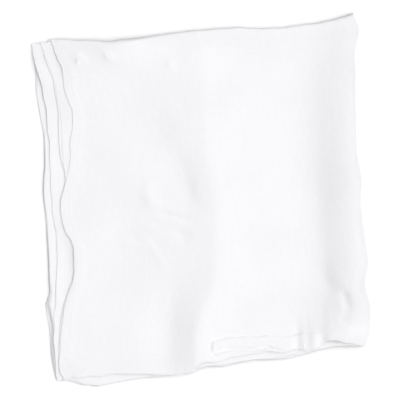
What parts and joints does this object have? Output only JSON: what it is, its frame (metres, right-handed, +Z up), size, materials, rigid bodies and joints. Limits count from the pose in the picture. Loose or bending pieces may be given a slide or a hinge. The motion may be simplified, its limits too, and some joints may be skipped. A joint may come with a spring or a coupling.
{
  "type": "folded crib sheet",
  "caption": "White cotton crib sheet, folded in half and then in thirds into a soft, nearly square pad, with hems and an elastic end.",
  "frame": {"origin": "on the table, under the middle of the folded sheet's outline", "axes": "+X towards the half fold, +Y towards the top cross fold, +Z up"},
  "size_m": [0.5754, 0.616, 0.0193],
  "materials": {
    "cotton": "matt, washed plain-weave cotton"
  },
  "bodies": {
    "root": {"folded_sheet": "cotton"}
  },
  "joints": []
}
